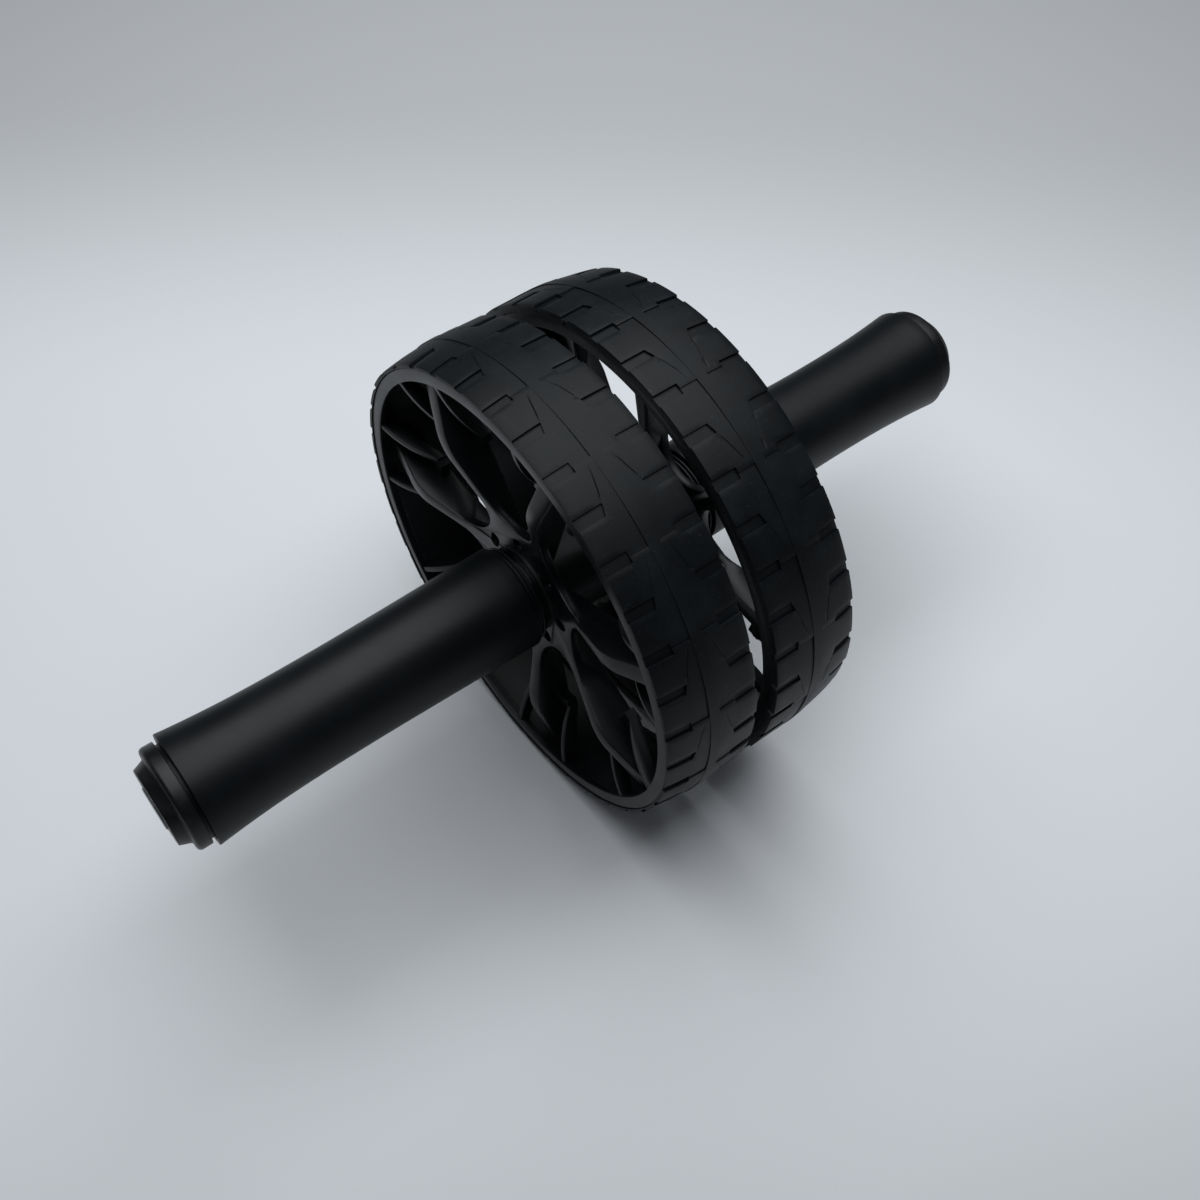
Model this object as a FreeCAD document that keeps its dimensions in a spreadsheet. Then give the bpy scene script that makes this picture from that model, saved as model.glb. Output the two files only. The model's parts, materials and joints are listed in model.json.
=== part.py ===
"""Twin-wheel ab roller: two treaded wheels turning on a cross axle with a grip at each end.

The axle runs along X at the height of the wheel radius, +Z is up and the floor is z = 0. Each side is
modelled once, to the right of the middle plane, with its axis on X. The left side is the same set of
pieces turned half a turn about Z.
"""
import FreeCAD, Part
import math
import os

import Sketcher

V = FreeCAD.Vector
X_AXIS, Z_AXIS = V(1, 0, 0), V(0, 0, 1)

# Driving dimensions in millimetres, angles in degrees
SIZES = {
    # tyre: a crowned tread ring with pockets cut into both shoulders
    "wheel_radius": 80.0,
    "half_gap": 4.0,
    "tyre_width": 31.0,
    "crown_start": 11.0,
    "crown_drop": 2.0,
    "inner_edge_drop": 0.2,
    "pocket_depth": 0.9,
    "pocket_start": 7.5,
    "pocket_angle": 2.5,
    "pocket_count": 36,
    "left_tread_phase": 12.0,
    "right_tread_phase": 5.0,
    # rim of the moulded wheel, bonded inside the tyre
    "tyre_edge_wall": 1.4,
    "bond_gap": 0.03,
    "rim_inset": 0.3,
    "rim_inner_inset": 0.5,
    "rim_lip_height": 4.2,
    "rim_lip_width": 3.0,
    "rim_inner_lip_width": 2.4,
    "rim_wall_outer": 2.4,
    "rim_wall_inner": 1.6,
    "rim_overlap": 0.8,
    # seven dished spokes: depths are measured in from the wheel's outer face
    "spoke_count": 7,
    "spoke_thickness": 4.4,
    "spoke_crest_drop": 25.3,
    "spoke_crest_depth": 0.4,
    "spoke_rim_depth": 6.0,
    "spoke_back_depth": 14.0,
    "spoke_root_overlap": 1.5,
    "spoke_hub_inset": 0.2,
    "left_wheel_phase": 22.5,
    "right_wheel_phase": 30.0,
    # a thin rib on either side of each spoke, swept in from the rim to a cross bar behind the spoke
    "rib_angle": 10.4,
    "rib_thickness": 2.2,
    "rib_height": 3.5,
    "rib_rim_depth": 0.5,
    "rib_sweep": 45.0,
    "rib_reach": 24.6,
    "rib_tip_depth": 8.9,
    "bar_width": 2.2,
    # hub barrel between an inner and an outer flange
    "hub_length": 23.4,
    "hub_wall": 3.0,
    "hub_inner_flange_radius": 17.5,
    "hub_outer_flange_radius": 22.6,
    "hub_flange_width": 3.0,
    "hub_hole_radius": 2.0,
    "hub_hole_circle": 17.3,
    "hub_hole_depth": 4.0,
    # axle, bushes, washers, spacer and retaining rings
    "axle_radius": 10.0,
    "axle_wall": 2.0,
    "running_clearance": 0.05,
    "push_clearance": 0.03,
    "end_float": 0.3,
    "bush_wall": 2.0,
    "bush_length": 9.0,
    "bush_flange": 1.2,
    "bush_flange_radius": 14.5,
    "washer_thickness": 1.0,
    "washer_radius": 14.5,
    "spacer_half": 2.0,
    "spacer_radius": 15.6,
    "spacer_ridge_radius": 17.0,
    "spacer_ridge_half": 0.9,
    "ring_thickness": 1.2,
    "ring_radius": 13.0,
    "ring_mouth_angle": 40.0,
    "groove_depth": 0.7,
    "groove_clearance": 0.05,
    # grip sleeve: tapers to a waist, then flares to its outer end
    "grip_gap": 0.3,
    "left_grip_length": 112.5,
    "right_grip_length": 106.1,
    "grip_inner_radius": 17.1,
    "grip_waist_radius": 16.1,
    "grip_waist_start": 57.0,
    "grip_flare_length": 36.0,
    "grip_flare_tip_length": 10.5,
    "grip_flare_radius": 17.1,
    "grip_outer_radius": 18.05,
    "collar_radius": 16.0,
    "collar_groove_radius": 15.2,
    "collar_width": 0.8,
    "collar_pitch": 1.35,
    "collar_count": 2,
    # end cap with the screw and cover that close it
    "cap_neck_length": 1.2,
    "cap_neck_radius": 15.2,
    "cap_flange_length": 4.5,
    "cap_flange_radius": 16.5,
    "cap_flange_chamfer": 0.9,
    "cap_nose_length": 3.6,
    "cap_nose_base_radius": 13.5,
    "cap_nose_tip_radius": 12.1,
    "cap_shank_length": 16.0,
    "counterbore_depth": 6.2,
    "counterbore_radius": 6.0,
    "screw_radius": 3.0,
    "screw_clearance": 0.2,
    "screw_length": 34.0,
    "screw_head_radius": 5.2,
    "screw_head_height": 3.0,
    "socket_across_flats": 4.0,
    "socket_depth": 1.8,
    "thread_clearance": 0.05,
    "insert_length": 14.0,
    "insert_gap": 1.0,
    "cover_radius": 6.8,
    "cover_height": 0.6,
    "cover_edge": 0.3,
    "cover_stem_length": 2.5,
    "cover_stem_clearance": 0.05,
}

doc = FreeCAD.newDocument("ab_roller")
sheet = doc.addObject("Spreadsheet::Sheet", "Sizes")


class Length:
    """A size that carries both its value and the sheet expression it comes from."""

    def __init__(self, value, text):
        self.value = value
        self.text = text

    def _join(self, other, sign, value):
        return Length(value, f"({self.text} {sign} {as_length(other).text})")

    def __add__(self, other):
        return self._join(other, "+", self.value + as_length(other).value)

    def __sub__(self, other):
        return self._join(other, "-", self.value - as_length(other).value)

    def __mul__(self, other):
        return self._join(other, "*", self.value * as_length(other).value)

    def __truediv__(self, other):
        return self._join(other, "/", self.value / as_length(other).value)


def as_length(number):
    """Wrap a plain number, leave a Length as it is."""
    if isinstance(number, Length):
        return number
    return Length(float(number), repr(number))


class Sheet:
    """The driving dimensions, read back from the sheet by name."""

    def __init__(self, sizes):
        for row, (alias, number) in enumerate(sizes.items(), start=1):
            sheet.set(f"A{row}", alias)
            sheet.set(f"B{row}", str(number))
            sheet.setAlias(f"B{row}", alias)
            setattr(self, alias, Length(float(number), f"Sizes.{alias}"))


S = Sheet(SIZES)
doc.recompute()

# Places along the axle, worked out from the middle plane to the right end
wheel_face = S.half_gap + S.tyre_width
tyre_middle = S.half_gap + S.tyre_width / 2
inner_washer_x = S.spacer_half
inner_bush_x = inner_washer_x + S.washer_thickness + S.end_float
hub_x = inner_bush_x + S.bush_flange
hub_end = hub_x + S.hub_length
outer_bush_end = hub_end + S.bush_flange
outer_washer_x = outer_bush_end + S.end_float
ring_x = outer_washer_x + S.washer_thickness
grip_x = ring_x + S.ring_thickness + S.grip_gap


class Outer:
    """Places along the axle from a grip's outer end to the tip of its cap."""

    def __init__(self, grip_length):
        self.grip_end = grip_x + grip_length
        self.flange = self.grip_end + S.cap_neck_length
        self.nose = self.flange + S.cap_flange_length
        self.nose_end = self.nose + S.cap_nose_length
        self.seat = self.nose_end - S.counterbore_depth
        self.shank = self.grip_end - S.cap_shank_length


OUTER = {"left": Outer(S.left_grip_length), "right": Outer(S.right_grip_length)}
# The wheels stand this far to the right of the handlebar's middle, which is the origin
wheel_shift = (S.left_grip_length - S.right_grip_length) / 2

# Radii that two pieces share
tube_bore = S.axle_radius - S.axle_wall
groove_radius = S.axle_radius - S.groove_depth
push_bore = S.axle_radius + S.push_clearance
bush_bore = S.axle_radius + S.running_clearance
bush_radius = bush_bore + S.bush_wall
hub_bore = bush_radius + S.push_clearance
barrel_radius = hub_bore + S.hub_wall
tyre_edge = S.wheel_radius - S.crown_drop
bond_radius = tyre_edge - S.tyre_edge_wall
lip_radius = bond_radius - S.rim_lip_height
rim_root = bond_radius - S.rim_overlap
crest_radius = bond_radius - S.spoke_crest_drop
rib_tip_radius = bond_radius - S.rib_reach
plug_radius = tube_bore - S.push_clearance


def body_of(label):
    """Start a body whose label names its file."""
    body = doc.addObject("PartDesign::Body", label)
    body.Label = label
    return body


def origin_feature(body, role):
    """One of the body's own origin planes or axes."""
    return next(item for item in body.Origin.OriginFeatures if item.Role == role)


def sketch_on(body, name, role, turn_axis=None, turn=0.0, lift=0.0):
    """A sketch on an origin plane, optionally turned about one of its own axes and lifted off it."""
    sketch = body.newObject("Sketcher::SketchObject", f"{body.Label}_{name}")
    sketch.AttachmentSupport = [(origin_feature(body, role), "")]
    sketch.MapMode = "FlatFace"
    if turn_axis:
        sketch.AttachmentOffset = FreeCAD.Placement(V(0, 0, lift), FreeCAD.Rotation(turn_axis, turn))
    return sketch


def bind(sketch, constraint, length):
    """Add a dimension and tie it to the sheet."""
    index = sketch.addConstraint(constraint)
    sketch.setExpression(f"Constraints[{index}]", length.text)


def pin(sketch, geometry, end, x, y):
    """Hold one end of a line or arc at a place measured from the sketch's origin."""
    bind(sketch, Sketcher.Constraint("DistanceX", -1, 1, geometry, end, x.value), x)
    bind(sketch, Sketcher.Constraint("DistanceY", -1, 1, geometry, end, y.value), y)


def arc_between(start, end, radius, bulge):
    """An arc from start to end. Bulge is +1 when it swells to the left of that way, -1 to the right."""
    chord = end - start
    normal = V(-chord.y, chord.x, 0).normalize()
    height = math.sqrt(radius ** 2 - (chord.Length / 2) ** 2)
    centre = (start + end) * 0.5 - normal * (height * bulge)
    top = centre + normal * (radius * bulge)
    return Part.Arc(start, top, end)


def outline(sketch, points):
    """Closed outline through (x, y) points. A point with (radius, bulge) starts an arc to the next one."""
    places = [V(point[0].value, point[1].value, 0) for point in points]
    first_end = []
    for index, point in enumerate(points):
        start, end = places[index], places[(index + 1) % len(points)]
        if len(point) == 2:
            sketch.addGeometry(Part.LineSegment(start, end))
            first_end.append(1)
        else:
            radius, bulge = point[2]
            added = sketch.addGeometry(arc_between(start, end, radius.value, bulge))
            starts_here = sketch.getPoint(added, 1).distanceToPoint(start) < 1e-6
            first_end.append(1 if starts_here else 2)
    for index, point in enumerate(points):
        follower = (index + 1) % len(points)
        last_end = 3 - first_end[index]
        joint = Sketcher.Constraint("Coincident", index, last_end, follower, first_end[follower])
        sketch.addConstraint(joint)
        pin(sketch, index, first_end[index], as_length(point[0]), as_length(point[1]))
        if len(point) == 3:
            radius = point[2][0]
            bind(sketch, Sketcher.Constraint("Radius", index, radius.value), radius)


def turned(body, name, points, kind="Revolution", angle=None):
    """Turn an (x, radius) outline about the axle, right round or by an angle centred on the sketch."""
    sketch = sketch_on(body, f"{name}_profile", "XY_Plane")
    outline(sketch, points)
    feature = body.newObject(f"PartDesign::{kind}", f"{body.Label}_{name}")
    feature.Profile = sketch
    feature.ReferenceAxis = (origin_feature(body, "X_Axis"), [""])
    feature.Angle = 360
    feature.Refine = False
    if angle is not None:
        feature.setExpression("Angle", angle.text)
        feature.Midplane = True
    return feature


def plate(body, name, points, thickness, angle=0.0):
    """A flat plate from an (x, radius) outline, centred on a plane through the axle at an angle."""
    sketch = sketch_on(body, f"{name}_profile", "XY_Plane", X_AXIS, angle)
    outline(sketch, points)
    pad = body.newObject("PartDesign::Pad", f"{body.Label}_{name}")
    pad.Profile = sketch
    pad.setExpression("Length", thickness.text)
    pad.Midplane = True
    pad.Refine = False
    return pad


def round_the_axle(body, name, originals, count):
    """Repeat features evenly round the axle."""
    pattern = body.newObject("PartDesign::PolarPattern", f"{body.Label}_{name}")
    pattern.Originals = originals
    pattern.Axis = (origin_feature(body, "X_Axis"), [""])
    pattern.Angle = 360
    pattern.setExpression("Occurrences", count.text)
    pattern.Refine = False
    body.Tip = pattern
    return pattern


def sleeve(body, name, x, end, bore, radius):
    """A plain ring from x to end."""
    return turned(body, name, [(x, bore), (end, bore), (end, radius), (x, radius)])


def place(body, side, phase=None):
    """Stand a right-hand piece on the axle line, turned by its phase, or half round for the left side."""
    turn = FreeCAD.Rotation(X_AXIS, phase.value if phase else 0.0)
    if side == "left":
        turn = FreeCAD.Rotation(Z_AXIS, 180).multiply(turn)
    body.Placement = FreeCAD.Placement(V(wheel_shift.value, 0, S.wheel_radius.value), turn)


def axle_tube():
    """Steel cross tube with a groove for each retaining ring."""
    body = body_of("axle_tube")
    left_end, length = OUTER["left"].grip_end, OUTER["left"].grip_end + OUTER["right"].grip_end
    groove_start = ring_x - S.groove_clearance
    groove_end = ring_x + S.ring_thickness + S.groove_clearance
    right_groove = (left_end + groove_start, left_end + groove_end)
    left_groove = (left_end - groove_end, left_end - groove_start)
    points = [(as_length(0.0), tube_bore), (length, tube_bore), (length, S.axle_radius)]
    for start, end in (right_groove, left_groove):
        points += [(end, S.axle_radius), (end, groove_radius), (start, groove_radius), (start, S.axle_radius)]
    points.append((as_length(0.0), S.axle_radius))
    turned(body, "tube", points)
    body.Placement = FreeCAD.Placement(V(-length.value / 2, 0, S.wheel_radius.value), FreeCAD.Rotation())


def hub_spacer():
    """Ridged ring that holds the two hubs apart."""
    body = body_of("hub_spacer")
    ridge_start = S.spacer_half - S.spacer_ridge_half
    ridge_end = S.spacer_half + S.spacer_ridge_half
    length = S.spacer_half * 2
    turned(body, "ring", [
        (as_length(0.0), push_bore), (length, push_bore), (length, S.spacer_radius),
        (ridge_end, S.spacer_radius), (ridge_end, S.spacer_ridge_radius),
        (ridge_start, S.spacer_ridge_radius), (ridge_start, S.spacer_radius),
        (as_length(0.0), S.spacer_radius)])
    start = wheel_shift - S.spacer_half
    body.Placement = FreeCAD.Placement(V(start.value, 0, S.wheel_radius.value), FreeCAD.Rotation())


def tyre(side, phase):
    """Crowned tread ring with pockets open to both sides."""
    body = body_of(f"{side}_tyre")
    inner = bond_radius + S.bond_gap
    inner_edge = S.wheel_radius - S.inner_edge_drop
    crown_x = S.half_gap + S.crown_start
    crown_width = S.tyre_width - S.crown_start
    crown_radius = crown_width * crown_width / (S.crown_drop * 2) + S.crown_drop / 2
    turned(body, "ring", [
        (S.half_gap, inner), (wheel_face, inner), (wheel_face, tyre_edge, (crown_radius, -1)),
        (crown_x, S.wheel_radius), (S.half_gap, inner_edge)])
    outer_start = tyre_middle + S.pocket_start
    inner_start = tyre_middle - S.pocket_start
    crown_share = (outer_start - crown_x) / crown_width
    inner_share = (crown_x - inner_start) / S.crown_start
    outer_floor = S.wheel_radius - S.crown_drop * crown_share * crown_share - S.pocket_depth
    inner_floor = S.wheel_radius - S.inner_edge_drop * inner_share - S.pocket_depth
    above = S.wheel_radius + S.pocket_depth
    outer_beyond = wheel_face + S.pocket_depth
    inner_beyond = S.half_gap - S.pocket_depth
    outer_edge_floor = tyre_edge - S.pocket_depth
    inner_edge_floor = inner_edge - S.pocket_depth
    pockets = [
        turned(body, "outer_pocket", [
            (outer_start, outer_floor), (wheel_face, outer_edge_floor), (outer_beyond, outer_edge_floor),
            (outer_beyond, above), (outer_start, above)], kind="Groove", angle=S.pocket_angle),
        turned(body, "inner_pocket", [
            (inner_start, inner_floor), (S.half_gap, inner_edge_floor), (inner_beyond, inner_edge_floor),
            (inner_beyond, above), (inner_start, above)], kind="Groove", angle=S.pocket_angle)]
    round_the_axle(body, "tread", pockets, S.pocket_count)
    place(body, side, phase)


def wheel(side, phase):
    """Moulded wheel: hub, dished spokes with a thin rib either side, and a lipped rim, in one piece."""
    body = body_of(f"{side}_wheel")
    flange_start = hub_end - S.hub_flange_width
    inner_flange_end = hub_x + S.hub_flange_width
    turned(body, "hub", [
        (hub_x, hub_bore), (hub_end, hub_bore), (hub_end, S.hub_outer_flange_radius),
        (flange_start, S.hub_outer_flange_radius), (flange_start, barrel_radius),
        (inner_flange_end, barrel_radius), (inner_flange_end, S.hub_inner_flange_radius),
        (hub_x, S.hub_inner_flange_radius)])
    root = barrel_radius - S.spoke_root_overlap
    spoke_front = hub_end - S.spoke_hub_inset
    spoke = plate(body, "spoke", [
        (spoke_front, root), (spoke_front, S.hub_outer_flange_radius),
        (wheel_face - S.spoke_crest_depth, crest_radius),
        (wheel_face - S.spoke_rim_depth, rim_root),
        (wheel_face - S.spoke_back_depth, rim_root),
        (wheel_face - S.spoke_back_depth, root)], S.spoke_thickness)
    round_the_axle(body, "spokes", [spoke], S.spoke_count)
    rim_start = S.half_gap + S.rim_inner_inset
    rim_end = wheel_face - S.rim_inset
    lip_start = rim_end - S.rim_lip_width
    inner_lip_end = rim_start + S.rim_inner_lip_width
    turned(body, "rim", [
        (rim_start, lip_radius), (inner_lip_end, lip_radius),
        (inner_lip_end, bond_radius - S.rim_wall_inner), (lip_start, bond_radius - S.rim_wall_outer),
        (lip_start, lip_radius), (rim_end, lip_radius),
        (rim_end, bond_radius), (rim_start, bond_radius)])
    rib_x = wheel_face - S.rib_rim_depth
    tip_x = wheel_face - S.rib_tip_depth
    bar_radius = rib_tip_radius + S.bar_width
    arms = [turned(body, "bar", [
        (tip_x, rib_tip_radius), (tip_x, bar_radius),
        (tip_x - S.rib_height, bar_radius), (tip_x - S.rib_height, rib_tip_radius)], angle=S.rib_angle * 2)]
    for name, sign in (("leading", 1), ("trailing", -1)):
        arms.append(plate(body, f"{name}_rib", [
            (tip_x, rib_tip_radius, (S.rib_sweep, -1)), (rib_x, rim_root),
            (rib_x - S.rib_height, rim_root), (tip_x - S.rib_height, rib_tip_radius)],
            S.rib_thickness, sign * S.rib_angle.value))
    round_the_axle(body, "arms", arms, S.spoke_count)
    half_pitch = 180.0 / S.spoke_count.value
    ring = sketch_on(body, "hole_profile", "YZ_Plane", Z_AXIS, half_pitch, hub_end.value)
    ring.addGeometry(Part.Circle(V(S.hub_hole_circle.value, 0, 0), Z_AXIS, S.hub_hole_radius.value))
    bind(ring, Sketcher.Constraint("DistanceX", -1, 1, 0, 3, S.hub_hole_circle.value), S.hub_hole_circle)
    ring.addConstraint(Sketcher.Constraint("PointOnObject", 0, 3, -1))
    bind(ring, Sketcher.Constraint("Radius", 0, S.hub_hole_radius.value), S.hub_hole_radius)
    hole = body.newObject("PartDesign::Pocket", f"{side}_wheel_hole")
    hole.Profile = ring
    hole.setExpression("Length", S.hub_hole_depth.text)
    round_the_axle(body, "holes", [hole], S.spoke_count)
    place(body, side, phase)


def bushes(side):
    """Flanged plain bushes pressed into both ends of the hub."""
    inner = body_of(f"{side}_inner_bush")
    inner_end = hub_x + S.bush_length
    turned(inner, "bush", [
        (inner_bush_x, bush_bore), (inner_end, bush_bore), (inner_end, bush_radius),
        (hub_x, bush_radius), (hub_x, S.bush_flange_radius), (inner_bush_x, S.bush_flange_radius)])
    outer = body_of(f"{side}_outer_bush")
    outer_start = hub_end - S.bush_length
    turned(outer, "bush", [
        (outer_start, bush_bore), (outer_bush_end, bush_bore), (outer_bush_end, S.bush_flange_radius),
        (hub_end, S.bush_flange_radius), (hub_end, bush_radius), (outer_start, bush_radius)])
    place(inner, side)
    place(outer, side)


def washers_and_ring(side):
    """Thrust washers beside the hub and the spring ring that keeps the wheel on the axle."""
    for name, x in (("inner", inner_washer_x), ("outer", outer_washer_x)):
        body = body_of(f"{side}_{name}_washer")
        sleeve(body, "ring", x, x + S.washer_thickness, push_bore, S.washer_radius)
        place(body, side)
    body = body_of(f"{side}_retaining_ring")
    ring_bore = groove_radius + S.push_clearance
    ring_end = ring_x + S.ring_thickness
    ring = sleeve(body, "ring", ring_x, ring_end, ring_bore, S.ring_radius)
    ring.setExpression("Angle", f"360 - {S.ring_mouth_angle.text}")
    place(body, side)


def grip(side):
    """Soft sleeve: ridged collar against the wheel, a taper to the waist and a flare to the outer end."""
    body = body_of(f"{side}_grip")
    end = OUTER[side].grip_end
    points = [
        (grip_x, push_bore), (end, push_bore), (end, S.grip_outer_radius),
        (end - S.grip_flare_tip_length, S.grip_flare_radius),
        (end - S.grip_flare_length, S.grip_waist_radius),
        (grip_x + S.grip_waist_start, S.grip_waist_radius)]
    collar_end = grip_x + S.collar_pitch * int(S.collar_count.value)
    points += [(collar_end, S.grip_inner_radius), (collar_end, S.collar_groove_radius)]
    for ridge in reversed(range(int(S.collar_count.value))):
        start = grip_x + S.collar_pitch * ridge
        stop = start + S.collar_width
        points += [(stop, S.collar_groove_radius), (stop, S.collar_radius), (start, S.collar_radius)]
        if ridge:
            points.append((start, S.collar_groove_radius))
    turned(body, "sleeve", points)
    place(body, side)


def end_cap(side):
    """Cap with a shank in the tube, a flange, a conical nose and a counterbore for its screw."""
    body = body_of(f"{side}_end_cap")
    at = OUTER[side]
    bore = S.screw_radius + S.screw_clearance
    turned(body, "cap", [
        (at.shank, bore), (at.seat, bore), (at.seat, S.counterbore_radius), (at.nose_end, S.counterbore_radius),
        (at.nose_end, S.cap_nose_tip_radius), (at.nose, S.cap_nose_base_radius),
        (at.nose, S.cap_flange_radius - S.cap_flange_chamfer), (at.nose - S.cap_flange_chamfer, S.cap_flange_radius),
        (at.flange, S.cap_flange_radius), (at.flange, S.cap_neck_radius), (at.grip_end, S.cap_neck_radius),
        (at.grip_end, plug_radius), (at.shank, plug_radius)])
    place(body, side)


def end_insert(side):
    """Tapped plug held in the end of the tube, just inside the cap's shank."""
    body = body_of(f"{side}_end_insert")
    end = OUTER[side].shank - S.insert_gap
    sleeve(body, "plug", end - S.insert_length, end, S.screw_radius + S.thread_clearance, plug_radius)
    place(body, side)


def cap_screw(side):
    """Socket-head screw from the cap's counterbore into the insert."""
    body = body_of(f"{side}_cap_screw")
    axis = as_length(0.0)
    seat = OUTER[side].seat
    head_end = seat + S.screw_head_height
    tip = seat - S.screw_length
    turned(body, "screw", [
        (tip, axis), (head_end, axis), (head_end, S.screw_head_radius), (seat, S.screw_head_radius),
        (seat, S.screw_radius), (tip, S.screw_radius)])
    hexagon = sketch_on(body, "socket_profile", "YZ_Plane", Z_AXIS, 0.0, head_end.value)
    across_corners = S.socket_across_flats.value / math.sqrt(3)
    corners = [V(across_corners * math.cos(math.radians(60 * k)), across_corners * math.sin(math.radians(60 * k)), 0)
               for k in range(6)]
    for index, corner in enumerate(corners):
        hexagon.addGeometry(Part.LineSegment(corner, corners[(index + 1) % 6]))
    for index in range(6):
        hexagon.addConstraint(Sketcher.Constraint("Coincident", index, 2, (index + 1) % 6, 1))
    socket = body.newObject("PartDesign::Pocket", f"{side}_cap_screw_socket")
    socket.Profile = hexagon
    socket.setExpression("Length", S.socket_depth.text)
    place(body, side)


def screw_cover(side):
    """Round push-in button that hides the screw, with a bevelled edge."""
    body = body_of(f"{side}_screw_cover")
    axis = as_length(0.0)
    nose_end = OUTER[side].nose_end
    stem_start = nose_end - S.cover_stem_length
    stem_radius = S.counterbore_radius - S.cover_stem_clearance
    top = nose_end + S.cover_height
    turned(body, "cover", [
        (stem_start, axis), (top, axis), (top, S.cover_radius - S.cover_edge),
        (top - S.cover_edge, S.cover_radius), (nose_end, S.cover_radius),
        (nose_end, stem_radius), (stem_start, stem_radius)])
    place(body, side)


axle_tube()
hub_spacer()
for side, tread_phase, wheel_phase in (("left", S.left_tread_phase, S.left_wheel_phase),
                                       ("right", S.right_tread_phase, S.right_wheel_phase)):
    tyre(side, tread_phase)
    wheel(side, wheel_phase)
    bushes(side)
    washers_and_ring(side)
    grip(side)
    end_cap(side)
    end_insert(side)
    cap_screw(side)
    screw_cover(side)
doc.recompute()

failed = [item.Label for item in doc.Objects if "Invalid" in item.State or "Error" in item.State]
if failed:
    raise RuntimeError(f"these objects failed: {failed}")
bodies = [item for item in doc.Objects if item.TypeId == "PartDesign::Body"]
for body in bodies:
    if body.Shape.isNull() or not body.Shape.isValid() or len(body.Shape.Solids) != 1:
        raise RuntimeError(f"{body.Label} is not one sound solid")
os.makedirs("parts", exist_ok=True)
for body in bodies:
    body.Shape.exportStep(f"parts/{body.Label}.step")
    box = body.Shape.BoundBox
    print(f"{body.Label}: {body.Shape.Volume / 1000:.2f} cm3,"
          f" x {box.XMin:.2f} to {box.XMax:.2f}, z {box.ZMin:.2f} to {box.ZMax:.2f}")
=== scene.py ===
# %% [markdown]
# # Dressing a twin-wheel ab roller
# The roller is a steel cross tube with a rubber grip at each end and two small wheels turning side by side
# in the middle. Its plain engineering model is already in the frame. Each cell below makes one piece of it
# again with the rounded edges, the tread and the finish that the eye meets on the real thing.

import json
import math

import bmesh
import bpy
from mathutils import Matrix, Vector

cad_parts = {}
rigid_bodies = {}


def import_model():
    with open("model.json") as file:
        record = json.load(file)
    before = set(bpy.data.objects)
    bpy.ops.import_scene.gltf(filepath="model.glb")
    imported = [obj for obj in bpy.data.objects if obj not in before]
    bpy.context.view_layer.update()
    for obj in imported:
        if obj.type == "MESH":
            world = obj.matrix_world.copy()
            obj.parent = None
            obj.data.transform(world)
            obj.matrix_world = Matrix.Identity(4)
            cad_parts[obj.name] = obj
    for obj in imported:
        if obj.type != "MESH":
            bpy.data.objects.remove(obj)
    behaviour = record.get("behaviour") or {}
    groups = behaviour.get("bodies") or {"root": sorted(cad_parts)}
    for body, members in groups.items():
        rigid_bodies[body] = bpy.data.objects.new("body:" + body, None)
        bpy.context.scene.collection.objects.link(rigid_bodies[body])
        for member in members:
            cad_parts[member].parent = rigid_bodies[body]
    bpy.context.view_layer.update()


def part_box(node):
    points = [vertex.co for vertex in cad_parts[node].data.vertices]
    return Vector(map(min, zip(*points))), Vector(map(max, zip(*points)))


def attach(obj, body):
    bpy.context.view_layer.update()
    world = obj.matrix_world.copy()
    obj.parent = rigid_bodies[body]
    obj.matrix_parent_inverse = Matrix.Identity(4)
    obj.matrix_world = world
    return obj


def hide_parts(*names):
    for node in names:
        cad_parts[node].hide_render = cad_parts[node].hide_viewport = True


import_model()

# %% [markdown]
# Every new piece is drawn in millimetres about the axle, for the right-hand side, with x running out along
# the axle from the plane midway between the wheels. The sizes could be typed in again, but they might drift
# from the engineering pieces, so they are read from the boxes of those pieces instead. The left grip is a
# little longer than the right one, so the wheels stand slightly to the right of the middle.

# %% Read the key places from the frame
MM = 0.001
SIDES = ("left", "right")
WHEELS_MIDDLE = (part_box("left_tyre")[0][0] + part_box("right_tyre")[1][0]) / 2
BUSH_FLANGE = 1.2


def span(node):
    """The inner end, outer end and outer radius of a piece, in millimetres."""
    low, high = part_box(node)
    inner, outer = sorted(abs(x - WHEELS_MIDDLE) / MM for x in (low[0], high[0]))
    return inner, outer, (high[2] - low[2]) / 2 / MM


TYRE_START, TYRE_END, TYRE_RADIUS = span("right_tyre")
TYRE_MIDDLE = (TYRE_START + TYRE_END) / 2
RIM_END, RIM_RADIUS = span("right_wheel")[1:]
HUB_START = span("right_inner_bush")[0] + BUSH_FLANGE
HUB_END = span("right_outer_bush")[1] - BUSH_FLANGE
GRIP_START = span("right_grip")[0]
GRIP_ENDS = {side: span(f"{side}_grip")[1] for side in SIDES}
CAP_LENGTH = span("right_end_cap")[1] - GRIP_ENDS["right"]
COVER_LENGTH = span("right_screw_cover")[1] - GRIP_ENDS["right"]
COVER_RADIUS = span("right_screw_cover")[2]
AXLE_HEIGHT = (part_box("right_tyre")[0][2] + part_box("right_tyre")[1][2]) / 2
print(f"tyre {TYRE_START:.1f} to {TYRE_END:.1f} mm, radius {TYRE_RADIUS:.1f} mm, axle {AXLE_HEIGHT:.4f} m up")

# %% [markdown]
# The photograph's camera is found again by matching points on the roller with points in the picture. It
# looked down steeply over the left-hand end from about half a metre away. Its three axes are written out,
# because a matched camera is easier to check that way than as three turns.

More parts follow.
